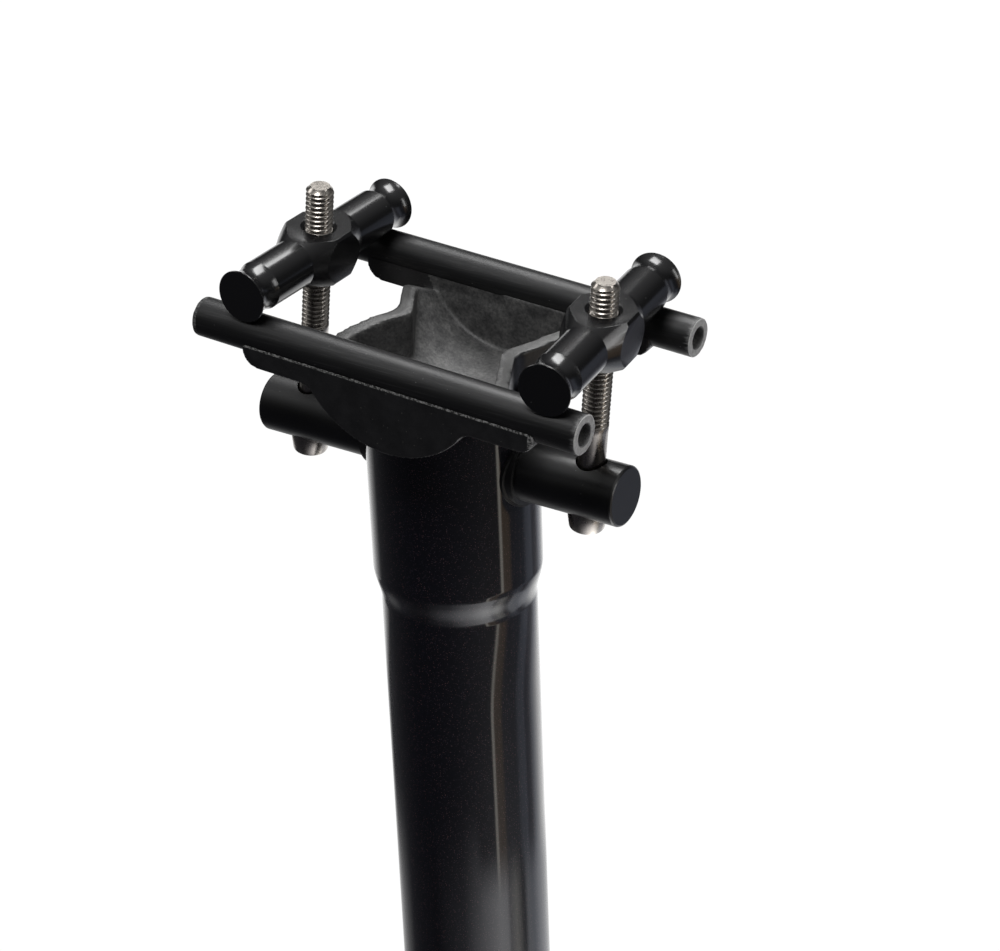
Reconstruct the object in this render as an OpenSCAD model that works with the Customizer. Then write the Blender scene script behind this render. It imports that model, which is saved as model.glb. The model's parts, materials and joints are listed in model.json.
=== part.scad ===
// Rigid bicycle seatpost with a two-bolt micro-adjust head.
// A straight tube with a swollen head carries a cross pin. Two long bolts rise
// from the pin into two dumbbell clamp bars, which press two saddle rails down
// into a moulded cradle. The cradle's round belly rocks in a matching notch in
// the top of the tube. +X is the front of the bicycle, +Z runs up the tube, and
// the origin is the centre of the tube's lower end.

/* [Tube] */
// Outer diameter of the straight tube
tube_d = 31.6; // [25:0.1:36]
// Wall of the straight tube
tube_wall = 2.4; // [1.5:0.1:4]
// Height of level rails above the tube's lower end
post_length = 350; // [250:10:450]
// Outer diameter of the swollen head
head_d = 34.3; // [32:0.1:40]
// Wall of the head
head_wall = 3; // [2:0.1:5]
// Height of the smooth neck between tube and head
neck_length = 8; // [6:0.5:30]
// Height of the head below the rail line
head_length = 51.5; // [45:0.5:80]

/* [Rails] */
// Outer diameter of a saddle rail
rail_d = 7.8; // [7:0.1:9]
// Bore of a saddle rail
rail_bore_d = 4.4; // [3:0.1:6]
// Distance between the two rail centre lines
rail_spacing = 43; // [38:0.5:50]
// Length of each rail piece
rail_length = 85.4; // [75:0.2:120]
// Place of the rails' middle behind the middle of the cradle
rail_setback = 1.6; // [0:0.1:5]

/* [Cradle] */
// Length of the rail seats
cradle_length = 65; // [60:0.5:80]
// Thickness of the moulded cradle wall
cradle_wall = 2.8; // [2:0.1:4]
// Depth of the rail seats below the rail centre line
seat_depth = 5.5; // [5:0.1:7]
// Radius of the belly that rocks in the tube's notch
rocker_r = 21; // [18:0.5:24]
// Height of the rocking centre above the rail centre line
rocker_rise = 5.4; // [3:0.1:8]
// Distance of the rocking centre in front of the tube's axis
cradle_offset = 2.4; // [0:0.1:5]
// Half of the trough's length at its waist, before the corner is rounded
waist_half = 13.3; // [12:0.1:18]
// Slope of the rear waist wall out towards the rail seats
rear_slope = 0.57; // [0.2:0.01:0.8]
// Slope of the front waist wall out towards the rail seats
front_slope = 0.5; // [0.2:0.01:0.8]
// Height of the rear waist's rim above the rail centre line
rim_height = 0.7; // [0:0.1:2]
// Drop of the rear waist's rim from the middle to the rail seats
rim_drop = 4.8; // [2:0.1:5]
// Depth of the front waist's rim below the rail centre line
front_rim_depth = 1.7; // [0:0.1:3]

/* [Clamp] */
// Tilt of the saddle clamp, nose down
clamp_tilt = 2.6; // [-6:0.1:6]
// Distance between the two clamp bars
bar_spacing = 64; // [60:0.5:80]
// Flat rim of a clamp bar outside each saddle groove
bar_rim = 0.21; // [0.2:0.01:2]
// Diameter of a clamp bar's barrel
bar_d = 9.8; // [9:0.1:12]
// Diameter of the round part of a clamp bar's boss
boss_d = 15.4; // [13:0.1:18]
// Height of the boss between its milled flats
boss_height = 10; // [7:0.1:12]
// Width of the boss between its milled sides
boss_width = 12.6; // [10:0.1:15]
// Length of the boss between the barrels, its two cones included
boss_length = 15.8; // [12:0.1:20]
// Turn of the rear clamp bar about its bolt
rear_bar_yaw = -1.9; // [-6:0.1:6]
// Turn of the front clamp bar about its bolt
front_bar_yaw = 4.8; // [-6:0.1:6]

/* [Pin and bolts] */
// Diameter of the cross pin
pin_d = 12.2; // [11:0.1:14]
// Length of the cross pin
pin_length = 82; // [78:0.5:100]
// Place of the pin's middle behind the tube's axis
pin_setback = 1.8; // [0:0.1:3]
// Depth of the pin's axis below the rail line
pin_drop = 27; // [25:0.5:32]
// Distance between the two bolt holes in the pin
hole_pitch = 65; // [60:0.2:80]
// Thread diameter of the clamp bolts
bolt_d = 5.6; // [4:0.1:7]
// Diameter of a bolt's head
bolt_head_d = 8.4; // [7.5:0.1:9]
// Height of a bolt's head
bolt_head_height = 4.8; // [4:0.1:8]
// How far the rear bolt stands above its bar's axis
rear_bolt_rise = 13.9; // [8:0.1:20]
// How far the front bolt stands above its bar's axis
front_bolt_rise = 10.9; // [8:0.1:20]

/* [Clearances] */
// Gap between the rocking belly and the tube's notch
rocker_gap = 0.15; // [0.1:0.05:0.4]
// Gap around a rail in its seat
rail_gap = 0.1; // [0.05:0.05:0.3]
// Gap between a rail and the clamp bar over it
bar_gap = 0.3; // [0.2:0.05:0.5]
// Radial running clearance of a bolt in its bar and its washer
bolt_gap = 0.05; // [0.02:0.01:0.09]
// Radial clearance between a dished washer and its seat in the pin
washer_gap = 0.1; // [0.05:0.05:0.3]

/* [Hidden] */
$fn = 96;
EPS = 0.01;
CUT = 1;                       // how far a cutting solid runs past a face

tube_r = tube_d / 2;
head_r = head_d / 2;
rail_r = rail_d / 2;
bar_r = bar_d / 2;
pin_r = pin_d / 2;
bolt_r = bolt_d / 2 - bolt_gap;
bolt_hole_r = bolt_d / 2;

// Tube: heights of the neck and of the head's flat top
neck_top = post_length - head_length;
neck_bottom = neck_top - neck_length;
horn_drop = 7;                 // the head's top is this far below the rail line
head_top = post_length - horn_drop;
tube_bore_r = tube_r - tube_wall;
head_bore_r = head_r - head_wall;

// Rocking centre of the cradle, in the tube's frame
rocker_z = post_length + rocker_rise;

// Cradle, in its own frame: x = 0 midway between the bars, z = 0 on the rails
rail_y = rail_spacing / 2;
cradle_half_y = rail_y + rail_r;
seat_inner_y = rail_y - rail_r;
belly_bottom = rocker_rise - rocker_r;
edge_r = 3.4;                  // rounding of the moulded outer edges
cove_r = 4;                    // hollow between the belly and the rail seats
plate_step = 0.4;              // how far the side plates stay inside the belly's radius
plate_overlap = 0.5;           // how far the trough runs into the side plates
waist_round = 4;               // rounding of the waist's corner
rim_flat = 5;                  // half length of the rim's level middle
front_rim_rise = 1.2;          // rise of the front rim from the middle to the rail seats
rim_bend = 12;                 // from here to the seats the rim falls more steeply

// Clamp bars, in the cradle's frame
bar_drop = 0.53;               // how far the saddle groove cuts into the barrel
bar_z = rail_r + bar_gap + bar_r - bar_drop;
groove_r = rail_r + 0.6;       // wider than the rail, so a bar can turn and lean
inner_groove_r = 7.5;          // the groove rises more gently on the inner side
groove_depth_r = bar_r - bar_drop;
flange_r = bar_r + 0.4;
bar_bevel = 0.15;
groove_rise = flange_r - groove_depth_r;
groove_half = sqrt(groove_r^2 - (groove_r - groove_rise)^2);
bar_half_length = rail_y + groove_half + bar_rim;
boss_round_half = 2.6;         // half length of the boss between its cones
countersink = 0.8;

// Cross pin
pin_z = post_length - pin_drop;
pin_bevel = 0.25;
bush_wall = 0.9;
bush_lip = 0.5;                // thickness of a bush's lip outside the tube
bush_lip_rise = 0.5;           // how far the lip stands proud of the sleeve
pin_hole_room = 0.3;           // room round a bolt in the pin, for its change of lean

// Dished washer on each bolt head: a dome whose ball centre is on its flat face
washer_wall = 1.3;             // wall of a dished washer at its flat face
seat_ball_r = bolt_hole_r + washer_wall;
seat_drop = 4.2;               // depth of the ball centre below the pin's axis
washer_crown = 0.4;            // width left round the hole where the dome is cut flat
washer_top = sqrt(seat_ball_r^2 - (bolt_hole_r + washer_crown)^2);
lean_room = 0.3;               // room in the counterbore for the head of a leaning bolt
counterbore_r = bolt_head_d / 2 + lean_room;
head_tip_r = 3.5;              // small end of the tapered bolt head
hex_af = 3;                    // size across flats of the bolt's hexagon socket
hex_depth = 2.5;
tip_bevel = 0.8;               // chamfer on the bolt's free end

// A point of the cradle's frame, seen from the tube's frame
function clamp_point(x, z) = [
    cradle_offset + x * cos(clamp_tilt) + (z - rocker_rise) * sin(clamp_tilt),
    0,
    rocker_z - x * sin(clamp_tilt) + (z - rocker_rise) * cos(clamp_tilt)
];
// Centre of a clamp bar: end is -1 at the rear and 1 at the front
function bar_point(end) = clamp_point(end * bar_spacing / 2, bar_z);
// Centre of a bolt's ball seat, in the lower half of the pin
function seat_point(end) = [end * hole_pitch / 2 - pin_setback, 0, pin_z - seat_drop];
// Lean of a bolt away from the tube's axis, towards the front
function bolt_lean(end) =
    let (reach = bar_point(end) - seat_point(end)) atan2(reach.x, reach.z);
// Distance from a bolt's ball seat to its bar
function bolt_reach(end) = norm(bar_point(end) - seat_point(end));
function bolt_rise(end) = end < 0 ? rear_bolt_rise : front_bolt_rise;
function bar_yaw(end) = end < 0 ? rear_bar_yaw : front_bar_yaw;

// Places its children in the cradle's frame
module at_cradle() {
    translate([cradle_offset, 0, rocker_z])
        rotate([0, clamp_tilt, 0])
            translate([0, 0, -rocker_rise])
                children();
}

// Places its children at a bolt's ball seat, with +Z up the bolt
module at_bolt(end) {
    translate(seat_point(end))
        rotate([0, bolt_lean(end), 0])
            children();
}

// A cylinder along Y, centred on the origin
module across(r, length) {
    rotate([90, 0, 0])
        cylinder(r = r, h = length, center = true);
}

// A cylinder along X, centred on the origin
module along(r, length) {
    rotate([0, 90, 0])
        cylinder(r = r, h = length, center = true);
}

// ---- Tube ----

// Half outline of the tube's wall, lower end to the head's top, for turning
module tube_profile() {
    bore_step = neck_bottom - 2;
    polygon(concat(
        [
            [tube_bore_r, 0],
            [tube_r, 0]
        ],
        [for (i = [0:12])
            let (t = i / 12, blend = (1 - cos(180 * t)) / 2)
                [tube_r + (head_r - tube_r) * blend, neck_bottom + neck_length * t]],
        [
            [head_r, head_top],
            [head_bore_r, head_top],
            [head_bore_r, neck_top],
            [tube_bore_r, bore_step]
        ]
    ));
}

module seatpost_tube() {
    color([0.05, 0.05, 0.07])
        difference() {
            rotate_extrude()
                tube_profile();
            // notch for the cradle's belly
            translate([cradle_offset, 0, rocker_z])
                across(rocker_r + rocker_gap, head_d + 2 * CUT);
            // holes for the cross pin's bushes
            translate([0, 0, pin_z])
                along(pin_r + bush_wall, head_d + 2 * CUT);
        }
}

// ---- Cross pin and its bushes ----

// One bush: a sleeve in the tube's wall with a thin lip outside it
module pin_bush(end) {
    sleeve_r = pin_r + bush_wall;
    outer = head_r + bush_lip;
    inner = head_bore_r - 1;
    color([0.06, 0.06, 0.06])
        translate([0, 0, pin_z])
            difference() {
                union() {
                    translate([end * (outer + inner) / 2, 0, 0])
                        along(sleeve_r, outer - inner);
                    intersection() {
                        translate([end * outer / 2, 0, 0])
                            along(sleeve_r + bush_lip_rise, outer);
                        difference() {
                            cylinder(r = outer, h = 4 * sleeve_r, center = true);
                            cylinder(r = head_r, h = 4 * sleeve_r + CUT, center = true);
                        }
                    }
                }
                along(pin_r, 4 * head_r);
            }
}

module rear_pin_bush() { pin_bush(-1); }
module front_pin_bush() { pin_bush(1); }

module cross_pin() {
    color([0.08, 0.08, 0.08])
        difference() {
            translate([-pin_setback, 0, pin_z])
                rotate([0, 90, 0])
                    rotate_extrude()
                        polygon([
                            [0, -pin_length / 2],
                            [pin_r - pin_bevel, -pin_length / 2],
                            [pin_r, -pin_length / 2 + pin_bevel],
                            [pin_r, pin_length / 2 - pin_bevel],
                            [pin_r - pin_bevel, pin_length / 2],
                            [0, pin_length / 2]
                        ]);
            for (end = [-1, 1])
                at_bolt(end)
                    bolt_hole();
        }
}

// A bolt's hole in line with the bolt, its ball seat and the counterbore below it
module bolt_hole() {
    cylinder(r = bolt_hole_r + pin_hole_room, h = 2 * pin_d);
    sphere(r = seat_ball_r + washer_gap);
    translate([0, 0, -2 * pin_d])
        cylinder(r = counterbore_r, h = 2 * pin_d);
}

// ---- Cradle ----

// Side outline: a shallow bar for the rail with a round belly under it
module cradle_outline() {
    offset(r = -cove_r) offset(delta = cove_r) offset(r = edge_r) offset(delta = -edge_r)
        intersection() {
            union() {
                translate([-cradle_length / 2, -seat_depth])
                    square([cradle_length, seat_depth + edge_r]);
                translate([0, rocker_rise])
                    circle(r = rocker_r - plate_step);
            }
            translate([-cradle_length / 2, -2 * rocker_r])
                square([cradle_length, 2 * rocker_r]);
        }
}

// Plan of the waisted trough, moved inwards by inset
module waist_plan(inset) {
    front = waist_half + front_slope * cradle_half_y;
    rear = waist_half + rear_slope * cradle_half_y;
    offset(r = -waist_round) offset(delta = waist_round - inset)
        polygon([
            [waist_half, 0], [front, cradle_half_y],
            [-rear, cradle_half_y], [-waist_half, 0],
            [-rear, -cradle_half_y], [front, -cradle_half_y]
        ]);
}

// The trough's outline as a solid between the rail seats, moved inwards by inset
module trough_fill(inset) {
    intersection() {
        translate([0, 0, rocker_rise])
            across(rocker_r - inset, 2 * (seat_inner_y + (inset > 0 ? -1 : 1) * plate_overlap));
        translate([0, 0, belly_bottom - CUT])
            linear_extrude(rocker_r + 2 * CUT)
                waist_plan(inset);
    }
}

// Everything below the rim of one end, from x = start on
module rim_prism(start, height, drop) {
    side_y = seat_inner_y + CUT;
    translate([start, 0, 0])
        rotate([90, 0, 90])
            linear_extrude(cradle_length + (start < -CUT ? 0 : CUT))
                polygon([
                    [-rim_flat, height], [rim_flat, height],
                    [rim_bend, height - 0.35 * drop],
                    [side_y, height - 1.1 * drop],
                    [side_y, -rocker_r], [-side_y, -rocker_r],
                    [-side_y, height - 1.1 * drop],
                    [-rim_bend, height - 0.35 * drop]
                ]);
}

module rail_cradle() {
    color([0.1, 0.1, 0.1])
        at_cradle()
            difference() {
                union() {
                    // trough, its rim falling away towards the seats
                    intersection() {
                        trough_fill(0);
                        union() {
                            rim_prism(-cradle_length, rim_height, rim_drop);
                            rim_prism(-EPS, -front_rim_depth, -front_rim_rise);
                        }
                    }
                    // side plates, as thick as the rail seats on top of them
                    for (side = [-1, 1])
                        translate([0, side * rail_y, 0])
                            rotate([90, 0, 0])
                                linear_extrude(rail_d, center = true)
                                    cradle_outline();
                }
                trough_fill(cradle_wall);
                // seats for the rails, open at the top
                for (side = [-1, 1])
                    translate([0, side * rail_y, 0]) {
                        along(rail_r + rail_gap, 2 * cradle_length);
                        translate([-cradle_length, -rail_r - rail_gap, 0])
                            cube([2 * cradle_length, 2 * (rail_r + rail_gap), 2 * rail_r]);
                    }
            }
}

// ---- Rails ----

module saddle_rail(side) {
    color([0.09, 0.09, 0.09])
        at_cradle()
            translate([-rail_setback, side * rail_y, 0])
                difference() {
                    along(rail_r, rail_length);
                    along(rail_bore_d / 2, rail_length + 2 * CUT);
                }
}

module left_rail() { saddle_rail(1); }
module right_rail() { saddle_rail(-1); }

// ---- Clamp bars ----

// A point of the saddle groove: share runs from -1 to 0 or 0 to 1 over a rise in radius
function groove_point(r, rise, share) =
    let (along = share * sqrt(r^2 - (r - rise)^2))
        [groove_depth_r + r - sqrt(r^2 - along^2), rail_y + along];

// Half outline of a bar along its axis, from the middle to one end
function bar_half() = [
    [boss_d / 2, 0],
    [boss_d / 2, boss_round_half],
    [bar_r, boss_length / 2],
    for (i = [0:8])
        groove_point(inner_groove_r, bar_drop, i / 8 - 1),
    for (i = [1:8])
        groove_point(groove_r, groove_rise, i / 8),
    [flange_r, bar_half_length - bar_bevel],
    [flange_r - bar_bevel, bar_half_length]
];

module clamp_bar(end) {
    half = bar_half();
    color([0.07, 0.07, 0.07])
        at_bolt(end)
            translate([0, 0, bolt_reach(end)])
                rotate([0, 0, bar_yaw(end)])
                    difference() {
                        rotate([90, 0, 0])
                            rotate_extrude()
                                polygon(concat(
                                    [[0, bar_half_length], [0, -bar_half_length]],
                                    [for (i = [len(half) - 1:-1:1]) [half[i].x, -half[i].y]],
                                    [for (i = [1:len(half) - 1]) half[i]]
                                ));
                        // milled top, front, bottom and back of the boss
                        for (turn = [0:90:270])
                            rotate([0, turn, 0])
                                boss_trim(turn % 180 == 0 ? boss_height / 2 : boss_width / 2);
                        cylinder(r = bolt_hole_r, h = 2 * boss_d, center = true);
                        // countersinks of the bolt hole
                        for (flip = [0, 1])
                            mirror([0, 0, flip])
                                translate([0, 0, boss_height / 2 - countersink])
                                    cylinder(
                                        r1 = bolt_hole_r,
                                        r2 = bolt_hole_r + countersink + EPS,
                                        h = countersink + EPS
                                    );
                    }
}

// Mills the boss flat at one height, and leaves the barrels alone
module boss_trim(height) {
    translate([-boss_d, -boss_length / 2, height])
        cube([2 * boss_d, boss_length, boss_d]);
}

module rear_clamp_bar() { clamp_bar(-1); }
module front_clamp_bar() { clamp_bar(1); }

// ---- Bolts and their washers ----

module dished_washer(end) {
    color([0.55, 0.55, 0.55])
        at_bolt(end)
            difference() {
                sphere(r = seat_ball_r);
                translate([0, 0, -2 * seat_ball_r])
                    cylinder(r = 2 * seat_ball_r, h = 2 * seat_ball_r);
                translate([0, 0, washer_top])
                    cylinder(r = 2 * seat_ball_r, h = 2 * seat_ball_r);
                cylinder(r = bolt_hole_r, h = 4 * seat_ball_r, center = true);
            }
}

module rear_dished_washer() { dished_washer(-1); }
module front_dished_washer() { dished_washer(1); }

module clamp_bolt(end) {
    top = bolt_reach(end) + bolt_rise(end);
    color([0.62, 0.6, 0.57])
        at_bolt(end)
            difference() {
                rotate_extrude()
                    polygon([
                        [0, -bolt_head_height],
                        [head_tip_r, -bolt_head_height],
                        [bolt_head_d / 2, -EPS],
                        [bolt_r, -EPS],
                        [bolt_r, top - tip_bevel],
                        [bolt_r - tip_bevel, top],
                        [0, top]
                    ]);
                translate([0, 0, -bolt_head_height - CUT])
                    cylinder(d = hex_af / cos(30), h = hex_depth + CUT, $fn = 6);
            }
}

module rear_clamp_bolt() { clamp_bolt(-1); }
module front_clamp_bolt() { clamp_bolt(1); }

seatpost_tube();
rear_pin_bush();
front_pin_bush();
cross_pin();
rail_cradle();
left_rail();
right_rail();
rear_dished_washer();
front_dished_washer();
rear_clamp_bar();
front_clamp_bar();
rear_clamp_bolt();
front_clamp_bolt();
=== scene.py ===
import json
import math

import bpy
from mathutils import Matrix, Vector


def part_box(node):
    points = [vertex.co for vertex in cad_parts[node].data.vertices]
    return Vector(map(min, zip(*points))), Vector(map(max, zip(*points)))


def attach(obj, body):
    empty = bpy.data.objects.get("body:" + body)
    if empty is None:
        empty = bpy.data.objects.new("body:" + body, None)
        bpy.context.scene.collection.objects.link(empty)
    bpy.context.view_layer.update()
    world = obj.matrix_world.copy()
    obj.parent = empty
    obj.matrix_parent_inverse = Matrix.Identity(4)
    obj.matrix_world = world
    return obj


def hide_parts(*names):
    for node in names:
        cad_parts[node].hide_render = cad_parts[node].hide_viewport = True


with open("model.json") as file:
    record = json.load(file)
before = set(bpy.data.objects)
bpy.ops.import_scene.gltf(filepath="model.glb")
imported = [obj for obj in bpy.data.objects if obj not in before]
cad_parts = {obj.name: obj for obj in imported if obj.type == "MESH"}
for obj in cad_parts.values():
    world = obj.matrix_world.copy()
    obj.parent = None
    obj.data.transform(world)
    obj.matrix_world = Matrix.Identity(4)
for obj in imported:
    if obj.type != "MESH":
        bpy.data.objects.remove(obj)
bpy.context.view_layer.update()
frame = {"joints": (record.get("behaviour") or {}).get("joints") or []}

bl_info = {
    "name": "Two-bolt seatpost",
    "version": (1, 0, 0),
    "blender": (4, 2, 0),
    "location": "3D View > Sidebar > Seatpost",
    "description": "Builds a carbon seatpost with a two-bolt rail clamp, piece by piece",
    "category": "Object",
}

# Lengths are in metres, angles in radians. X is the front of the bicycle, Z runs up the tube.
MM = 0.001
JOINTS = {joint["name"]: joint for joint in frame["joints"]}
ROUND = 96               # segments round a turned piece
SMOOTH_ANGLE = math.radians(32)
CRISP_ANGLE = math.radians(12)

# Head of the post, seen from the rail line
RAIL_LINE = 350 * MM     # height of the rail line above the tube's lower end
HEAD_LENGTH = 51.5 * MM
NECK_LENGTH = 8 * MM
HORN_DROP = 7 * MM       # the head's flat top below the rail line
ROCKER_RISE = 5.4 * MM   # rocking centre above the rail line
ROCKER_GAP = 0.15 * MM

# Pin and bolts
PIN_DROP = 27 * MM
PIN_SETBACK = 1.8 * MM
BUSH_WALL = 0.9 * MM
BUSH_LIP = 0.5 * MM
BUSH_RISE = 0.5 * MM
PIN_HOLE_ROOM = 0.3 * MM
PIN_EDGE = 0.45 * MM     # how far the pin's rounded ends reach in
PIN_EDGE_STEP = (0.18 * MM, 0.14 * MM)  # a station on that edge: in from the end, in from the side
HEAD_ROOM = 0.3 * MM     # round a bolt's head in its counterbore
WASHER_WALL = 1.3 * MM
WASHER_CROWN = 0.4 * MM
WASHER_GAP = 0.1 * MM    # between a washer's dome and its seat in the pin
WASHER_EDGE = 0.1 * MM
BOLT_GAP = 0.05 * MM
# Lower end of a bolt's head as (height above its tip, radius)
HEAD_TIP = [(0, 3.1 * MM), (0.12 * MM, 3.38 * MM), (0.4 * MM, 3.52 * MM)]
HEX_AF = 3 * MM
HEX_DEPTH = 2.5 * MM
THREAD_PITCH = 1.0 * MM
THREAD_DEPTH = 0.55 * MM
THREAD_LENGTH = 31 * MM
STEPS_PER_TURN = 56
THREAD_ANGLE = math.radians(28)  # edges of a bolt above this stay crisp
# Outline of one pitch as (share of the pitch, share of the depth): rounded crest, tight root
THREAD_OUTLINE = [
    (0, 1), (0.07, 0.95), (0.15, 0.78), (0.26, 0.46), (0.35, 0.2), (0.43, 0.05), (0.5, 0),
    (0.57, 0.05), (0.65, 0.2), (0.74, 0.46), (0.85, 0.78), (0.93, 0.95), (1, 1),
]

# Cradle
SEAT_DEPTH = 5.5 * MM
COVE_R = 4 * MM
EDGE_R = 3.4 * MM
SEAT_CUT = (-0.3 * MM, 3 * MM)  # heights between which the plates are cut open over the rails
SEAT_CUT_ROOM = 0.25 * MM
WAIST_HALF = 13.3 * MM
REAR_SLOPE = 0.57
FRONT_SLOPE = 0.5
WAIST_ROUND = 6 * MM
WAIST_CREASE_R = 2.6 * MM
PLATE_STEP = 0.4 * MM    # how far the side plates stay inside the belly's radius
# Trough's rim as (distance from the middle, height) in millimetres, at the rear and the front
RIMS = {
    -1: [(0, 0.7), (4, 0.7), (7, 0.15), (10, -0.6), (13, -1.6), (16, -3.2), (19, -4.9)],
    1: [(0, -1.7), (3, -1.65), (6, -1.4), (9, -1.05), (12, -0.8), (16, -0.55), (19, -0.4)],
}
RAIL_SETBACK = 1.6 * MM
RAIL_GAP = 0.1 * MM
VOXEL = 0.42 * MM
CUTTER = 60 * MM         # longer than the cradle, for the shapes that cut it

# Sawn ends of the rails as (distance from the end, loss of radius) in millimetres
WORN_END = [(0, 0.2), (0.12, 0.06), (0.3, 0.02), (0.6, 0.0), (1.0, 0.0)]
# Rings on a sawn face, as shares of the way from the bore to the outside
END_RINGS = [0.82, 0.64, 0.46, 0.28, 0.1]
SAWN_LOSS = 0.08 * MM    # kept free for the roughness of a sawn end
BORE_END = (0.1 * MM, 1.2 * MM)  # stations down the bore from its end

# Clamp bars
BAR_DROP = 0.53 * MM
FLANGE_RISE = 0.4 * MM   # the end flange above the barrel
BAR_EDGE = 0.12 * MM
BOSS_D = 15.4 * MM
BOSS_ROUND_HALF = 2.6 * MM
BOSS_LENGTH = 15.8 * MM
BOSS_HEIGHT = 10 * MM
BOSS_WIDTH = 12.6 * MM
GROOVE_ROOM = 0.6 * MM
INNER_GROOVE_R = 7.5 * MM
COUNTERSINK = 0.8 * MM
ENDS = {
    "rear": {"yaw": math.radians(-1.9), "rise": 13.9 * MM},
    "front": {"yaw": math.radians(4.8), "rise": 10.9 * MM},
}


class SeatpostSettings(bpy.types.PropertyGroup):
    """Sizes and colours of the seatpost."""

    tube_d: bpy.props.FloatProperty(
        name="Tube diameter",
        description="Outer diameter of the straight tube",
        default=31.6 * MM, min=20 * MM, max=40 * MM, subtype="DISTANCE", unit="LENGTH",
    )
    tube_wall: bpy.props.FloatProperty(
        name="Tube wall",
        description="Wall of the straight tube",
        default=2.4 * MM, min=1 * MM, max=5 * MM, subtype="DISTANCE", unit="LENGTH",
    )
    head_d: bpy.props.FloatProperty(
        name="Head diameter",
        description="Outer diameter of the swollen head",
        default=34.3 * MM, min=25 * MM, max=45 * MM, subtype="DISTANCE", unit="LENGTH",
    )
    head_wall: bpy.props.FloatProperty(
        name="Head wall",
        description="Wall of the swollen head",
        default=3 * MM, min=1 * MM, max=6 * MM, subtype="DISTANCE", unit="LENGTH",
    )
    rail_d: bpy.props.FloatProperty(
        name="Rail diameter",
        description="Outer diameter of a saddle rail",
        default=7.8 * MM, min=6 * MM, max=10 * MM, subtype="DISTANCE", unit="LENGTH",
    )
    rail_bore_d: bpy.props.FloatProperty(
        name="Rail bore",
        description="Bore of a saddle rail",
        default=4.4 * MM, min=2 * MM, max=7 * MM, subtype="DISTANCE", unit="LENGTH",
    )
    rail_length: bpy.props.FloatProperty(
        name="Rail length",
        description="Length of each rail piece",
        default=85.4 * MM, min=70 * MM, max=120 * MM, subtype="DISTANCE", unit="LENGTH",
    )
    rail_spacing: bpy.props.FloatProperty(
        name="Rail spacing",
        description="Distance between the two rail centre lines",
        default=43 * MM, min=38 * MM, max=50 * MM, subtype="DISTANCE", unit="LENGTH",
    )
    rocker_r: bpy.props.FloatProperty(
        name="Rocker radius",
        description="Radius of the cradle's belly",
        default=21 * MM, min=18 * MM, max=24 * MM, subtype="DISTANCE", unit="LENGTH",
    )
    cradle_length: bpy.props.FloatProperty(
        name="Cradle length",
        description="Length of the rail seats",
        default=65 * MM, min=60 * MM, max=80 * MM, subtype="DISTANCE", unit="LENGTH",
    )
    cradle_wall: bpy.props.FloatProperty(
        name="Cradle wall",
        description="Thickness of the moulded trough",
        default=2.8 * MM, min=1.5 * MM, max=4 * MM, subtype="DISTANCE", unit="LENGTH",
    )
    bar_d: bpy.props.FloatProperty(
        name="Bar diameter",
        description="Diameter of a clamp bar's barrel",
        default=9.8 * MM, min=8 * MM, max=12 * MM, subtype="DISTANCE", unit="LENGTH",
    )
    bar_rim: bpy.props.FloatProperty(
        name="Clamp bar rim",
        description="Flat rim of a clamp bar outside each saddle groove",
        default=0.21 * MM, min=0.2 * MM, max=2 * MM, subtype="DISTANCE", unit="LENGTH",
    )
    pin_d: bpy.props.FloatProperty(
        name="Pin diameter",
        description="Diameter of the cross pin",
        default=12.2 * MM, min=10 * MM, max=15 * MM, subtype="DISTANCE", unit="LENGTH",
    )
    pin_length: bpy.props.FloatProperty(
        name="Pin length",
        description="Length of the cross pin",
        default=82 * MM, min=75 * MM, max=100 * MM, subtype="DISTANCE", unit="LENGTH",
    )
    bolt_d: bpy.props.FloatProperty(
        name="Bolt diameter",
        description="Thread diameter of the clamp bolts",
        default=5.6 * MM, min=4 * MM, max=7 * MM, subtype="DISTANCE", unit="LENGTH",
    )
    bolt_head_d: bpy.props.FloatProperty(
        name="Bolt head diameter",
        description="Largest diameter of a bolt's head",
        default=8.4 * MM, min=7 * MM, max=10 * MM, subtype="DISTANCE", unit="LENGTH",
    )
    bolt_head_height: bpy.props.FloatProperty(
        name="Bolt head height",
        description="Height of a bolt's head",
        default=4.8 * MM, min=4 * MM, max=8 * MM, subtype="DISTANCE", unit="LENGTH",
    )
    lacquer_colour: bpy.props.FloatVectorProperty(
        name="Lacquer",
        description="Colour of the tube's lacquer",
        default=(0.0035, 0.0038, 0.0065), min=0, max=1, size=3, subtype="COLOR",
    )
    flake_colour: bpy.props.FloatVectorProperty(
        name="Flake",
        description="Colour of the fine flakes in the tube's lacquer",
        default=(0.05, 0.06, 0.11), min=0, max=1, size=3, subtype="COLOR",
    )
    carbon_colour: bpy.props.FloatVectorProperty(
        name="Moulded carbon",
        description="Colour of the cradle",
        default=(0.009, 0.009, 0.0095), min=0, max=1, size=3, subtype="COLOR",
    )
    anodised_colour: bpy.props.FloatVectorProperty(
        name="Anodised black",
        description="Colour of the clamp bars and the pin",
        default=(0.006, 0.006, 0.0065), min=0, max=1, size=3, subtype="COLOR",
    )
    titanium_colour: bpy.props.FloatVectorProperty(
        name="Titanium",
        description="Colour of the bolts",
        default=(0.50, 0.465, 0.425), min=0, max=1, size=3, subtype="COLOR",
    )


def settings():
    """The sizes and colours kept with the scene."""
    return bpy.context.scene.seatpost


# ---- Where things are ----

def cradle_matrix():
    """From the cradle's frame, x = 0 midway between the bars and z = 0 on the rails, to the row frame."""
    centre = Vector(JOINTS["saddle_tilt"]["pos_m"])
    rail = Vector(JOINTS["left_rail_slide"]["axis"])
    tilt = math.atan2(-rail.z, rail.x)
    return (
        Matrix.Translation(centre)
        @ Matrix.Rotation(tilt, 4, "Y")
        @ Matrix.Translation((0, 0, -ROCKER_RISE))
    )


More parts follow.
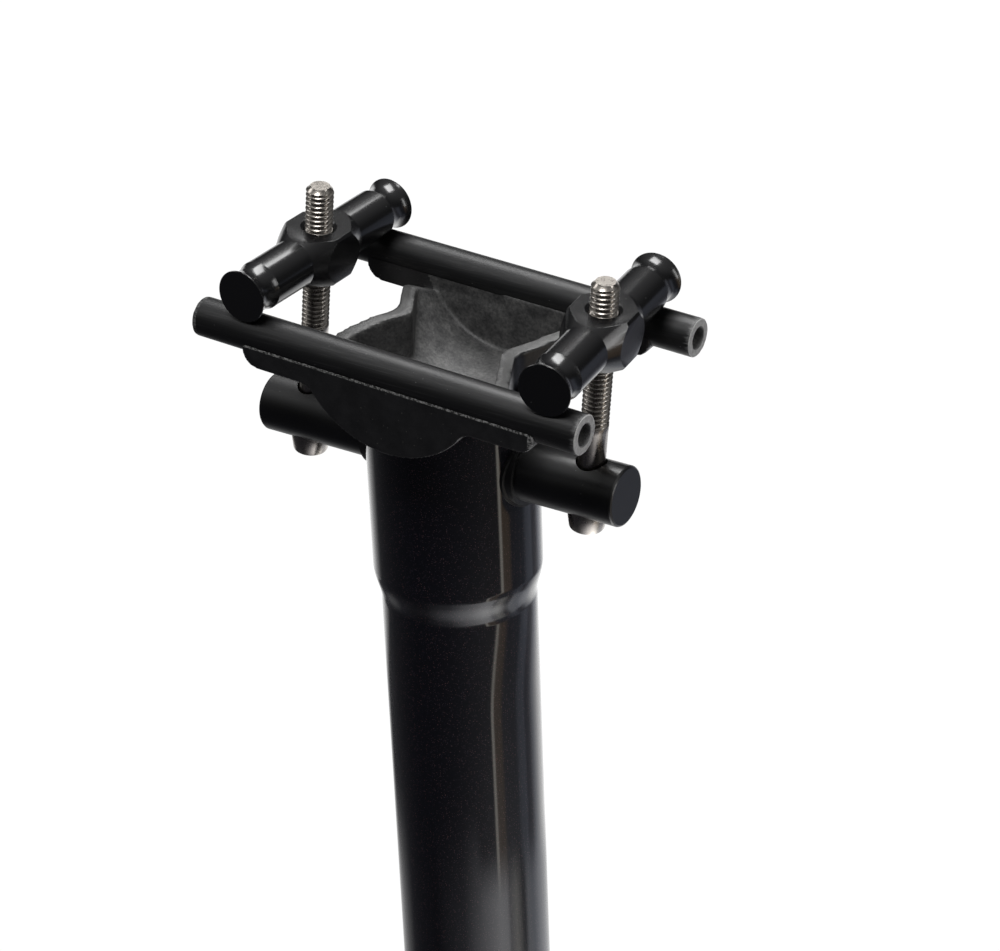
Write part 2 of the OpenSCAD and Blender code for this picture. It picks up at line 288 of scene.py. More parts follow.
def bolt_matrix(end):
    """From a bolt's frame, the ball seat at the origin and +Z up the bolt, to the row frame."""
    joint = JOINTS[end + "_bolt_spin"]
    axis = Vector(joint["axis"])
    lean = math.atan2(axis.x, axis.z)
    return Matrix.Translation(Vector(joint["pos_m"])) @ Matrix.Rotation(lean, 4, "Y")


def bolt_reach(end):
    """Distance from a bolt's ball seat to the middle of its bar."""
    low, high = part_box(end + "_clamp_bar")
    middle = (low + high) / 2
    return (bolt_matrix(end).inverted() @ middle).z


# ---- Modelling helpers ----

def activate(piece):
    """Selects one object alone and makes it active."""
    for other in list(bpy.context.selected_objects):
        other.select_set(False)
    piece.select_set(True)
    bpy.context.view_layer.objects.active = piece


def start_clean():
    """Nothing selected, so that an operator only meets what it adds."""
    for other in list(bpy.context.selected_objects):
        other.select_set(False)


def apply_modifier(piece, kind, **values):
    """Adds a modifier, sets its values and applies it."""
    modifier = piece.modifiers.new(kind.lower(), kind)
    for key, value in values.items():
        setattr(modifier, key, value)
    activate(piece)
    bpy.ops.object.modifier_apply(modifier=modifier.name)


def combine(piece, tool, operation="DIFFERENCE"):
    """Boolean of piece with tool. The tool is used up."""
    apply_modifier(piece, "BOOLEAN", operation=operation, solver="EXACT", object=tool)
    mesh = tool.data
    bpy.data.objects.remove(tool, do_unlink=True)
    bpy.data.meshes.remove(mesh)


def place(piece, matrix):
    """Moves a piece by a matrix and keeps the move in its mesh."""
    piece.matrix_world = matrix @ piece.matrix_world
    activate(piece)
    bpy.ops.object.transform_apply(location=True, rotation=True, scale=True)


def outward(piece):
    """Turns every face outwards, in edit mode."""
    bpy.ops.mesh.select_all(action="SELECT")
    bpy.ops.mesh.normals_make_consistent(inside=False)
    bpy.ops.object.mode_set(mode="OBJECT")
    activate(piece)
    bpy.ops.object.transform_apply(location=True, rotation=True, scale=True)


def turned(name, stations, segments=ROUND, ring=False):
    """A piece turned about Z through (height, radius) stations.

    A solid is closed at both ends. A ring's last station runs back to its first.
    """
    start_clean()
    height, radius = stations[0]
    fill = "NOTHING" if ring else "NGON"
    bpy.ops.mesh.primitive_circle_add(
        vertices=segments, radius=radius, fill_type=fill, location=(0, 0, height)
    )
    piece = bpy.context.object
    piece.name = name
    bpy.ops.object.mode_set(mode="EDIT")
    bpy.ops.mesh.select_all(action="SELECT")
    path = stations[1:] + ([stations[0]] if ring else [])
    for next_height, next_radius in path:
        bpy.ops.mesh.extrude_region_move(
            TRANSFORM_OT_translate={"value": (0, 0, next_height - height)}
        )
        scale = next_radius / radius
        bpy.ops.transform.resize(value=(scale, scale, 1), center_override=(0, 0, next_height))
        height, radius = next_height, next_radius
    bpy.ops.mesh.select_all(action="SELECT")
    bpy.ops.mesh.remove_doubles(threshold=0.0005 * MM)
    outward(piece)
    return piece


def drawn(name, points):
    """A line drawn through points. It is left in edit mode."""
    start_clean()
    bpy.ops.mesh.primitive_plane_add(size=MM, location=(0, 0, 0))
    piece = bpy.context.object
    piece.name = name
    bpy.ops.object.mode_set(mode="EDIT")
    bpy.ops.mesh.select_all(action="SELECT")
    bpy.ops.mesh.merge(type="CENTER")
    bpy.ops.transform.translate(value=points[0])
    for before, after in zip(points, points[1:]):
        bpy.ops.mesh.extrude_region_move(TRANSFORM_OT_translate={"value": after - before})
    return piece


def plate(name, outline, thickness, axis="Y"):
    """A flat plate: an outline of (across, up) points, as thick along axis as given, about its middle.

    Across is X for a plate along Y, and Y for a plate along X. For a plate along Z, across and up
    are X and Y.
    """
    def spot(point):
        """The outline's point on the plate's lower side."""
        across, up = point
        if axis == "Y":
            return Vector((across, -thickness / 2, up))
        if axis == "X":
            return Vector((-thickness / 2, across, up))
        return Vector((across, up, -thickness / 2))

    piece = drawn(name, [spot(point) for point in outline])
    bpy.ops.mesh.select_all(action="SELECT")
    bpy.ops.mesh.edge_face_add()
    away = {"X": (thickness, 0, 0), "Y": (0, thickness, 0), "Z": (0, 0, thickness)}[axis]
    bpy.ops.mesh.extrude_region_move(TRANSFORM_OT_translate={"value": away})
    outward(piece)
    return piece


def rod(name, radius, length, axis="Z", centre=(0, 0, 0), segments=ROUND):
    """A plain cylinder about its centre, for cutting and joining."""
    turns = {"X": (0, math.pi / 2, 0), "Y": (math.pi / 2, 0, 0), "Z": (0, 0, 0)}
    start_clean()
    bpy.ops.mesh.primitive_cylinder_add(
        vertices=segments, radius=radius, depth=length, location=centre, rotation=turns[axis]
    )
    piece = bpy.context.object
    piece.name = name
    bpy.ops.object.transform_apply(location=True, rotation=True, scale=True)
    return piece


def block(name, low, high):
    """A plain box between two corners, for cutting and joining."""
    low, high = Vector(low), Vector(high)
    start_clean()
    bpy.ops.mesh.primitive_cube_add(size=1, location=(low + high) / 2, scale=high - low)
    piece = bpy.context.object
    piece.name = name
    bpy.ops.object.transform_apply(location=True, rotation=True, scale=True)
    return piece


def soften(piece, width, segments=2):
    """Small bevels on the sharp edges."""
    apply_modifier(
        piece, "BEVEL", width=width, segments=segments, limit_method="ANGLE",
        angle_limit=math.radians(35), use_clamp_overlap=True, harden_normals=False,
    )


def arc(centre, radius, start, stop, steps):
    """Points on an arc, angles in radians."""
    return [
        (
            centre[0] + radius * math.cos(start + (stop - start) * i / steps),
            centre[1] + radius * math.sin(start + (stop - start) * i / steps),
        )
        for i in range(steps + 1)
    ]


def finish_piece(piece, material, node, body, others=(), smooth=SMOOTH_ANGLE):
    """Shades a finished piece, gives it its materials and ties it to the frame."""
    activate(piece)
    bpy.ops.object.shade_smooth_by_angle(angle=smooth)
    piece.data.materials.clear()
    piece.data.materials.append(material)
    for other in others:
        piece.data.materials.append(other)
    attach(piece, body)
    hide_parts(node)
    if len(piece.data.polygons) < 20:
        raise RuntimeError(piece.name + " came out with hardly any faces")


# ---- Shared shader effects ----

class Effect:
    """A shader node group under construction, with named inputs and outputs."""

    def __init__(self, name, inputs, outputs):
        self.tree = bpy.data.node_groups.new(name, "ShaderNodeTree")
        for label, default in inputs:
            socket = self.tree.interface.new_socket(
                name=label, in_out="INPUT", socket_type="NodeSocketFloat"
            )
            socket.default_value = default
        for label in outputs:
            self.tree.interface.new_socket(
                name=label, in_out="OUTPUT", socket_type="NodeSocketFloat"
            )
        self.enter = self.tree.nodes.new("NodeGroupInput")
        self.leave = self.tree.nodes.new("NodeGroupOutput")
        self.place = self.tree.nodes.new("ShaderNodeTexCoord").outputs["Object"]

    def add(self, kind, **values):
        """A node with its properties set."""
        node = self.tree.nodes.new(kind)
        for key, value in values.items():
            setattr(node, key, value)
        return node

    def link(self, output, socket):
        """Joins an output to an input."""
        self.tree.links.new(output, socket)

    def math(self, operation, first, second=None, clamp=False):
        """One sum: numbers or outputs in, an output back."""
        node = self.add("ShaderNodeMath", operation=operation, use_clamp=clamp)
        for socket, value in zip(node.inputs, (first, second)):
            if value is None:
                continue
            if isinstance(value, (int, float)):
                socket.default_value = value
            else:
                self.link(value, socket)
        return node.outputs[0]

    def stretched(self, scale):
        """Object coordinates in millimetres, scaled along each axis."""
        node = self.add("ShaderNodeMapping")
        node.inputs["Scale"].default_value = [value / MM for value in scale]
        self.link(self.place, node.inputs["Vector"])
        return node.outputs["Vector"]

    def noise(self, vector, scale, detail=4.0, roughness=0.55):
        """A noise texture's value."""
        node = self.add("ShaderNodeTexNoise")
        node.inputs["Detail"].default_value = detail
        node.inputs["Roughness"].default_value = roughness
        self.link(vector, node.inputs["Vector"])
        if isinstance(scale, (int, float)):
            node.inputs["Scale"].default_value = scale
        else:
            self.link(scale, node.inputs["Scale"])
        return node.outputs[0]

    def ramp(self, value, low, high):
        """0 below low, 1 above high, smooth between."""
        node = self.add("ShaderNodeMapRange", interpolation_type="SMOOTHSTEP")
        node.inputs["From Min"].default_value = low
        node.inputs["From Max"].default_value = high
        self.link(value, node.inputs["Value"])
        return node.outputs[0]


def mottle_effect():
    """Cloudy unevenness: a value round 0.5 and a finer grain."""
    effect = Effect("mottle", [("Size", 1.0), ("Grain", 6.0)], ["Clouds", "Grain"])
    millimetres = effect.stretched((1, 1, 1))
    clouds = effect.noise(millimetres, effect.enter.outputs["Size"], 5.0, 0.6)
    grain = effect.noise(millimetres, effect.enter.outputs["Grain"], 3.0, 0.6)
    effect.link(clouds, effect.leave.inputs["Clouds"])
    effect.link(grain, effect.leave.inputs["Grain"])
    return effect.tree


def streak_effect(axis):
    """Fine lengthwise lines along one axis, as a height."""
    scale = {"X": (0.05, 3, 3), "Y": (3, 0.05, 3)}[axis]
    effect = Effect("streaks_" + axis.lower(), [("Fineness", 1.0)], ["Height", "Lines"])
    lines = effect.noise(effect.stretched(scale), effect.enter.outputs["Fineness"], 5.0, 0.65)
    effect.link(lines, effect.leave.inputs["Height"])
    effect.link(effect.ramp(lines, 0.52, 0.74), effect.leave.inputs["Lines"])
    return effect.tree


def speck_effect():
    """Sparse round specks, for flakes and dust: a mask and a random number for each speck."""
    effect = Effect("specks", [("Scale", 4.0), ("Share", 0.3), ("Radius", 0.3)], ["Mask", "Random"])
    cells = effect.add("ShaderNodeTexVoronoi", feature="F1")
    effect.link(effect.stretched((1, 1, 1)), cells.inputs["Vector"])
    effect.link(effect.enter.outputs["Scale"], cells.inputs["Scale"])
    split = effect.add("ShaderNodeSeparateColor")
    effect.link(cells.outputs["Color"], split.inputs[0])
    near = effect.math("LESS_THAN", cells.outputs["Distance"], effect.enter.outputs["Radius"])
    chosen = effect.math("LESS_THAN", split.outputs[0], effect.enter.outputs["Share"])
    effect.link(effect.math("MULTIPLY", near, chosen), effect.leave.inputs["Mask"])
    effect.link(split.outputs[1], effect.leave.inputs["Random"])
    return effect.tree


def band_effect():
    """1 where X lies between two places in millimetres, broken up into streaks along X."""
    effect = Effect(
        "worn_band", [("Low", 0.0), ("High", 1.0), ("Blend", 3.0), ("Cover", 0.5)], ["Mask"]
    )
    split = effect.add("ShaderNodeSeparateXYZ")
    effect.link(effect.stretched((1, 1, 1)), split.inputs[0])
    blend = effect.enter.outputs["Blend"]
    over = effect.math("SUBTRACT", split.outputs["X"], effect.enter.outputs["Low"])
    under = effect.math("SUBTRACT", effect.enter.outputs["High"], split.outputs["X"])
    over = effect.math("DIVIDE", over, blend, clamp=True)
    under = effect.math("DIVIDE", under, 0.2, clamp=True)
    band = effect.math("MULTIPLY", over, under)
    streaks = effect.noise(effect.stretched((0.12, 1.3, 1.3)), 1.0, 5.0, 0.7)
    reach = effect.math("MULTIPLY", band, effect.enter.outputs["Cover"])
    worn = effect.math("SUBTRACT", effect.math("ADD", streaks, reach), 0.82)
    effect.link(effect.math("MULTIPLY", worn, 5.0, clamp=True), effect.leave.inputs["Mask"])
    return effect.tree


EFFECTS = {}


def effect(name):
    """A shared effect, built the first time it is asked for."""
    makers = {
        "mottle": mottle_effect,
        "streaks_x": lambda: streak_effect("X"),
        "streaks_y": lambda: streak_effect("Y"),
        "specks": speck_effect,
        "worn_band": band_effect,
    }
    if name not in EFFECTS:
        EFFECTS[name] = makers[name]()
    return EFFECTS[name]


# ---- Materials ----

class Finish:
    """A material under construction round one Principled shader."""

    def __init__(self, name, **values):
        self.material = bpy.data.materials.new(name)
        self.material.use_nodes = True
        self.tree = self.material.node_tree
        self.shader = self.tree.nodes["Principled BSDF"]
        for label, value in values.items():
            socket = self.shader.inputs[label.replace("_", " ")]
            if isinstance(value, (int, float)):
                socket.default_value = value
            else:
                socket.default_value = (*value, 1.0)

    def group(self, name, **values):
        """A shared effect with its inputs set."""
        node = self.tree.nodes.new("ShaderNodeGroup")
        node.node_tree = effect(name)
        for label, value in values.items():
            node.inputs[label.replace("_", " ")].default_value = value
        return node

    def math(self, operation, first, second, clamp=True):
        """One sum: numbers or outputs in, an output back."""
        node = self.tree.nodes.new("ShaderNodeMath")
        node.operation = operation
        node.use_clamp = clamp
        for socket, value in zip(node.inputs, (first, second)):
            if isinstance(value, (int, float)):
                socket.default_value = value
            else:
                self.tree.links.new(value, socket)
        return node.outputs[0]

    def between(self, factor, low, high):
        """A number that runs from low to high with factor."""
        node = self.tree.nodes.new("ShaderNodeMapRange")
        node.inputs["To Min"].default_value = low
        node.inputs["To Max"].default_value = high
        self.tree.links.new(factor, node.inputs["Value"])
        return node.outputs[0]

    def colours(self, factor, low, high):
        """A colour that runs from low to high with factor. Either may be an output."""
        node = self.tree.nodes.new("ShaderNodeMix")
        node.data_type = "RGBA"
        self.tree.links.new(factor, node.inputs[0])
        for socket, value in zip((node.inputs[6], node.inputs[7]), (low, high)):
            if isinstance(value, bpy.types.NodeSocket):
                self.tree.links.new(value, socket)
            else:
                socket.default_value = (*value, 1.0)
        return node.outputs[2]

    def feed(self, output, label):
        """Joins an output to one of the shader's inputs."""
        self.tree.links.new(output, self.shader.inputs[label])

    def bump(self, height, distance, strength=1.0):
        """Roughens the surface by a height."""
        node = self.tree.nodes.new("ShaderNodeBump")
        node.inputs["Strength"].default_value = strength
        node.inputs["Distance"].default_value = distance
        self.tree.links.new(height, node.inputs["Height"])
        self.feed(node.outputs["Normal"], "Normal")


def lacquer():
    """Black clear coat over a dark base with fine sparse flakes."""
    finish = Finish(
        "lacquer", Base_Color=settings().lacquer_colour, Roughness=0.42, Metallic=0.0,
        Specular_IOR_Level=0.15, Coat_Weight=1.0, Coat_Roughness=0.035, Coat_IOR=1.5,
    )
    specks = finish.group("specks", Scale=5.0, Share=0.22, Radius=0.42)
    amount = finish.math("MULTIPLY", specks.outputs["Mask"], specks.outputs["Random"])
    warm = (0.12, 0.06, 0.06)
    flake = finish.colours(specks.outputs["Random"], settings().flake_colour, warm)
    colour = finish.colours(amount, settings().lacquer_colour, flake)
    finish.feed(colour, "Base Color")
    return finish.material


def moulded_skin():
    """Outside of the moulded carbon: dark satin resin with a little dust."""
    finish = Finish("moulded_skin", Base_Color=settings().carbon_colour, Roughness=0.33)
    mottle = finish.group("mottle", Size=0.3, Grain=2.5)
    pale = [2.2 * value for value in settings().carbon_colour]
    clouds = finish.between(mottle.outputs["Clouds"], -0.4, 1.2)
    colour = finish.colours(clouds, settings().carbon_colour, pale)
    dust = finish.group("specks", Scale=1.2, Share=0.2, Radius=0.1)
    colour = finish.colours(dust.outputs["Mask"], colour, (0.13, 0.13, 0.12))
    finish.feed(colour, "Base Color")
    finish.feed(finish.between(mottle.outputs["Clouds"], 0.25, 0.48), "Roughness")
    finish.bump(mottle.outputs["Grain"], 0.1 * MM, 0.35)
    return finish.material


def raw_carbon():
    """Inside of the moulded carbon: matte, mottled and paler."""
    finish = Finish("raw_carbon", Base_Color=(0.03, 0.03, 0.03), Roughness=0.55)
    mottle = finish.group("mottle", Size=0.28, Grain=3.0)
    fine = finish.group("mottle", Size=1.6, Grain=6.0)
    clouds = finish.math("MULTIPLY", mottle.outputs["Clouds"], fine.outputs["Clouds"])
    clouds = finish.between(clouds, -0.5, 3.1)
    colour = finish.colours(clouds, (0.024, 0.024, 0.025), (0.105, 0.104, 0.102))
    finish.feed(colour, "Base Color")
    finish.feed(finish.between(mottle.outputs["Clouds"], 0.38, 0.7), "Roughness")
    finish.bump(mottle.outputs["Grain"], 0.15 * MM, 0.5)
    return finish.material


def trimmed_carbon():
    """The cut rim of the moulding: paler, with fine scratches."""
    finish = Finish("trimmed_carbon", Base_Color=(0.05, 0.05, 0.05), Roughness=0.42)
    mottle = finish.group("mottle", Size=1.3, Grain=7.0)
    colour = finish.colours(mottle.outputs["Clouds"], (0.012, 0.012, 0.012), (0.055, 0.055, 0.054))
    finish.feed(colour, "Base Color")
    finish.bump(mottle.outputs["Grain"], 0.08 * MM, 0.6)
    return finish.material


def lip_highlight_and_worn_tip():
    """Pale grey patches on the moulding's edges: a painted highlight along the side plates' lips, and
    real wear on one tip.
    """
    finish = Finish("lip_highlight_and_worn_tip", Base_Color=(0.12, 0.12, 0.12), Roughness=0.5)
    mottle = finish.group("mottle", Size=2.2, Grain=6.0)
    patches = finish.between(mottle.outputs["Clouds"], -1.2, 1.6)
    # The pale patches are a painted highlight on the lips and wear on the tip
    colour = finish.colours(patches, (0.02, 0.02, 0.02), (0.55, 0.55, 0.54))
    finish.feed(colour, "Base Color")
    finish.bump(mottle.outputs["Grain"], 0.1 * MM, 0.6)
    return finish.material


def rail_carbon():
    """Satin black rail with fine lengthwise streaks."""
    finish = Finish(
        "rail_carbon", Base_Color=(0.008, 0.008, 0.0085), Roughness=0.36, Specular_IOR_Level=0.38,
    )
    streaks = finish.group("streaks_x", Fineness=1.0)
    dust = finish.group("specks", Scale=0.9, Share=0.22, Radius=0.08)
    colour = finish.colours(
        streaks.outputs["Lines"], (0.007, 0.007, 0.0075), (0.019, 0.019, 0.02)
    )
    colour = finish.colours(dust.outputs["Mask"], colour, (0.11, 0.11, 0.11))
    front = finish.group("worn_band", Low=40.4, High=60.0, Blend=3.0, Cover=0.5)
    colour = finish.colours(front.outputs["Mask"], colour, (0.11, 0.11, 0.11))
    rear = finish.group("worn_band", Low=-60.0, High=-40.9, Blend=0.5, Cover=0.4)
    colour = finish.colours(rear.outputs["Mask"], colour, (0.13, 0.13, 0.13))
    finish.feed(colour, "Base Color")
    finish.feed(finish.between(streaks.outputs["Height"], 0.26, 0.55), "Roughness")
    finish.bump(streaks.outputs["Height"], 0.05 * MM, 0.5)
    return finish.material


def cut_end():
    """Rough grey ring where a rail was sawn off."""
    finish = Finish("cut_end", Base_Color=(0.28, 0.28, 0.28), Roughness=0.55)
    mottle = finish.group("mottle", Size=1.4, Grain=6.0)
    colour = finish.colours(mottle.outputs["Clouds"], (0.2, 0.2, 0.2), (0.75, 0.75, 0.74))
    finish.feed(colour, "Base Color")
    finish.bump(mottle.outputs["Grain"], 0.15 * MM, 0.8)
    return finish.material


def bore_wall():
    """Rough grey wall of a rail's bore."""
    finish = Finish("bore_wall", Base_Color=(0.16, 0.16, 0.16), Roughness=0.7)
    mottle = finish.group("mottle", Size=1.8, Grain=6.0)
    colour = finish.colours(mottle.outputs["Clouds"], (0.06, 0.06, 0.06), (0.32, 0.32, 0.32))
    finish.feed(colour, "Base Color")
    finish.bump(mottle.outputs["Grain"], 0.2 * MM, 0.8)
    return finish.material


def anodised(name, roughness, axis):
    """Black anodised aluminium with faint turning marks along one axis."""
    finish = Finish(
        name, Base_Color=settings().anodised_colour, Roughness=roughness, Metallic=0.0, IOR=1.6,
    )
    streaks = finish.group("streaks_" + axis, Fineness=2.0)
    mottle = finish.group("mottle", Size=0.5, Grain=5.0)
    dust = finish.group("specks", Scale=0.8, Share=0.12, Radius=0.07)
    colour = finish.colours(dust.outputs["Mask"], settings().anodised_colour, (0.1, 0.1, 0.1))
    finish.feed(colour, "Base Color")
    finish.feed(
        finish.between(mottle.outputs["Clouds"], roughness - 0.02, roughness + 0.02), "Roughness"
    )
    finish.bump(streaks.outputs["Height"], 0.003 * MM, 0.2)
    return finish.material


def bush_polymer():
    """Dull black bearing polymer."""
    finish = Finish("bush_polymer", Base_Color=(0.012, 0.012, 0.012), Roughness=0.45)
    mottle = finish.group("mottle", Size=1.0, Grain=5.0)
    finish.feed(finish.between(mottle.outputs["Clouds"], 0.35, 0.6), "Roughness")
    return finish.material


def titanium():
    """Warm grey metal with a fine uneven polish."""
    finish = Finish(
        "titanium", Base_Color=settings().titanium_colour, Roughness=0.27, Metallic=1.0,
    )
    mottle = finish.group("mottle", Size=0.8, Grain=6.0)
    dark = [0.75 * value for value in settings().titanium_colour]
    colour = finish.colours(mottle.outputs["Clouds"], dark, settings().titanium_colour)
    finish.feed(colour, "Base Color")
    finish.feed(finish.between(mottle.outputs["Clouds"], 0.2, 0.36), "Roughness")
    finish.bump(mottle.outputs["Grain"], 0.01 * MM, 0.3)
    return finish.material


def washer_steel():
    """Turned steel."""
    finish = Finish("washer_steel", Base_Color=(0.45, 0.45, 0.45), Roughness=0.35, Metallic=1.0)
    mottle = finish.group("mottle", Size=1.0, Grain=5.0)
    finish.feed(finish.between(mottle.outputs["Clouds"], 0.28, 0.45), "Roughness")
    return finish.material


# ---- Pieces ----

class SEATPOST_OT_tube(bpy.types.Operator):
    """Lacquered tube with its swollen head, the rocking notch and the pin's holes"""

    bl_idname = "seatpost.tube"
    bl_label = "Tube"

    def execute(self, context):
        sizes = settings()
        tube_r = sizes.tube_d / 2
        head_r = sizes.head_d / 2
        tube_bore_r = tube_r - sizes.tube_wall
        head_bore_r = head_r - sizes.head_wall
        neck_top = RAIL_LINE - HEAD_LENGTH
        neck_bottom = neck_top - NECK_LENGTH
        top = RAIL_LINE - HORN_DROP
        pin_z = RAIL_LINE - PIN_DROP
        lip = 0.4 * MM
        stations = [(0, tube_bore_r), (0, tube_r)]
        stations += [(neck_bottom * i / 12, tube_r) for i in range(1, 12)]
        for i in range(17):
            part = i / 16
            blend = (1 - math.cos(math.pi * part)) / 2
            stations.append((neck_bottom + NECK_LENGTH * part, tube_r + (head_r - tube_r) * blend))
        hole_r = sizes.pin_d / 2 + BUSH_WALL
        for height in (pin_z - 14 * MM, pin_z - hole_r - 0.6 * MM, pin_z + hole_r + 0.6 * MM):
            stations.append((height, head_r))
        stations.append((RAIL_LINE + ROCKER_RISE - sizes.rocker_r - 0.6 * MM, head_r))
        stations.append((top - lip, head_r))
        stations.append((top, head_r - lip))
        stations.append((top, head_bore_r))
        stations.append((neck_top, head_bore_r))
        stations.append((neck_bottom - 2 * MM, tube_bore_r))
        piece = turned("tube_shell", stations, segments=144, ring=True)
        centre = Vector(JOINTS["saddle_tilt"]["pos_m"])
        notch = rod(
            "notch", sizes.rocker_r + ROCKER_GAP, 2 * sizes.head_d, "Y", centre, segments=240
        )
        combine(piece, notch)
        combine(piece, rod("pin_hole", hole_r, 2 * sizes.head_d, "X", (0, 0, pin_z)))
        soften(piece, 0.22 * MM)
        finish_piece(piece, lacquer(), "seatpost_tube", "post")
        return {"FINISHED"}


class SEATPOST_OT_bushes(bpy.types.Operator):
    """The two polymer bushes that carry the cross pin in the head"""

    bl_idname = "seatpost.bushes"
    bl_label = "Bushes"

    def execute(self, context):
        sizes = settings()
        head_r = sizes.head_d / 2
        sleeve_r = sizes.pin_d / 2 + BUSH_WALL
        pin_z = RAIL_LINE - PIN_DROP
        inner = head_r - sizes.head_wall - MM
        outer = head_r + BUSH_LIP
        material = bush_polymer()
        for end, side in (("rear", -1), ("front", 1)):
            middle = side * (inner + outer) / 2
            piece = rod(end + "_bush", sleeve_r, outer - inner, "X", (middle, 0, pin_z))
            lip = rod("lip", sleeve_r + BUSH_RISE, outer, "X", (side * outer / 2, 0, pin_z))
            combine(lip, rod("outside", outer, 4 * sleeve_r, "Z", (0, 0, pin_z), 192), "INTERSECT")
            combine(lip, rod("inside", head_r, 4 * sleeve_r, "Z", (0, 0, pin_z), 192))
            combine(piece, lip, "UNION")
            combine(piece, rod("bore", sizes.pin_d / 2, 4 * head_r, "X", (0, 0, pin_z)))
            soften(piece, 0.12 * MM)
            finish_piece(piece, material, end + "_pin_bush", "post")
        return {"FINISHED"}


class SEATPOST_OT_pin(bpy.types.Operator):
    """Anodised cross pin with bolt holes in line with the bolts, ball seats and counterbores"""

    bl_idname = "seatpost.pin"
    bl_label = "Cross pin"

    def execute(self, context):
        sizes = settings()
        half = sizes.pin_length / 2
        radius = sizes.pin_d / 2
        step_in, step_down = PIN_EDGE_STEP
        end_edge = [
            (half - PIN_EDGE, radius),
            (half - step_in, radius - step_down),
            (half, radius - PIN_EDGE),
        ]
        stations = [(-along, wide) for along, wide in reversed(end_edge)]
        stations += [(half * i / 8, radius) for i in range(-7, 8)]
        stations += end_edge
        piece = turned("cross_pin_turned", stations)
        pin_z = RAIL_LINE - PIN_DROP
        place(piece, Matrix.Translation((-PIN_SETBACK, 0, pin_z)) @ Matrix.Rotation(math.pi / 2, 4, "Y"))
        for end in ENDS:
            tall = 2 * sizes.pin_d
            hole_r = sizes.bolt_d / 2 + PIN_HOLE_ROOM
            hole = rod("hole", hole_r, tall, "Z", (0, 0, tall / 2))
            place(hole, bolt_matrix(end))
            combine(piece, hole)
            start_clean()
            bpy.ops.mesh.primitive_uv_sphere_add(
                segments=64, ring_count=32, location=(0, 0, 0),
                radius=sizes.bolt_d / 2 + WASHER_WALL + WASHER_GAP,
            )
            ball = bpy.context.object
            place(ball, bolt_matrix(end))
            combine(piece, ball)
            bore_r = sizes.bolt_head_d / 2 + HEAD_ROOM
            counterbore = rod("counterbore", bore_r, tall, "Z", (0, 0, -tall / 2))
            place(counterbore, bolt_matrix(end))
            combine(piece, counterbore)
        soften(piece, 0.12 * MM)
        finish_piece(
            piece, anodised("anodised_pin", 0.33, "x"), "cross_pin", "post",
            smooth=CRISP_ANGLE,
        )
        return {"FINISHED"}


def side_outline(sizes):
    """Side view of the cradle: a shallow bar for the rail with a round belly under it."""
    centre = (0, ROCKER_RISE)
    half = sizes.cradle_length / 2
    cove_z = -SEAT_DEPTH - COVE_R
    belly_r = sizes.rocker_r - PLATE_STEP
    reach = belly_r + COVE_R
    cove_x = math.sqrt(reach ** 2 - (cove_z - ROCKER_RISE) ** 2)
    turn = math.atan2(cove_z - ROCKER_RISE, cove_x)
    right = arc(centre, belly_r, -math.pi / 2, turn, 40)
    right += arc((cove_x, cove_z), COVE_R, math.pi + turn, math.pi / 2, 12)
    corner = (half - EDGE_R, -SEAT_DEPTH + EDGE_R)
    right += arc(corner, EDGE_R, -math.pi / 2, 0, 10)
    right.append((half, MM))
    left = [(-x, z) for x, z in reversed(right[1:])]
    return right + left


def waist_side(slope, inset, corner_r):
    """One wall of the trough's plan, from -Y to +Y: inset moves it in, its waist is rounded."""
    lean = math.atan(slope)
    edge_x = WAIST_HALF - inset / math.cos(lean)
    far = 30 * MM
    centre = (edge_x + corner_r / math.cos(lean), 0)
    wall = [(edge_x + slope * far, -far)]
    wall += arc(centre, corner_r, math.pi + lean, math.pi - lean, 16)
    wall.append((edge_x + slope * far, far))
    return wall


def waist_outline(inset, corner_r):
    """Plan of the waisted trough."""
    front = waist_side(FRONT_SLOPE, inset, corner_r)
    rear = waist_side(REAR_SLOPE, inset, corner_r)
    return front + [(-x, -y) for x, y in rear]


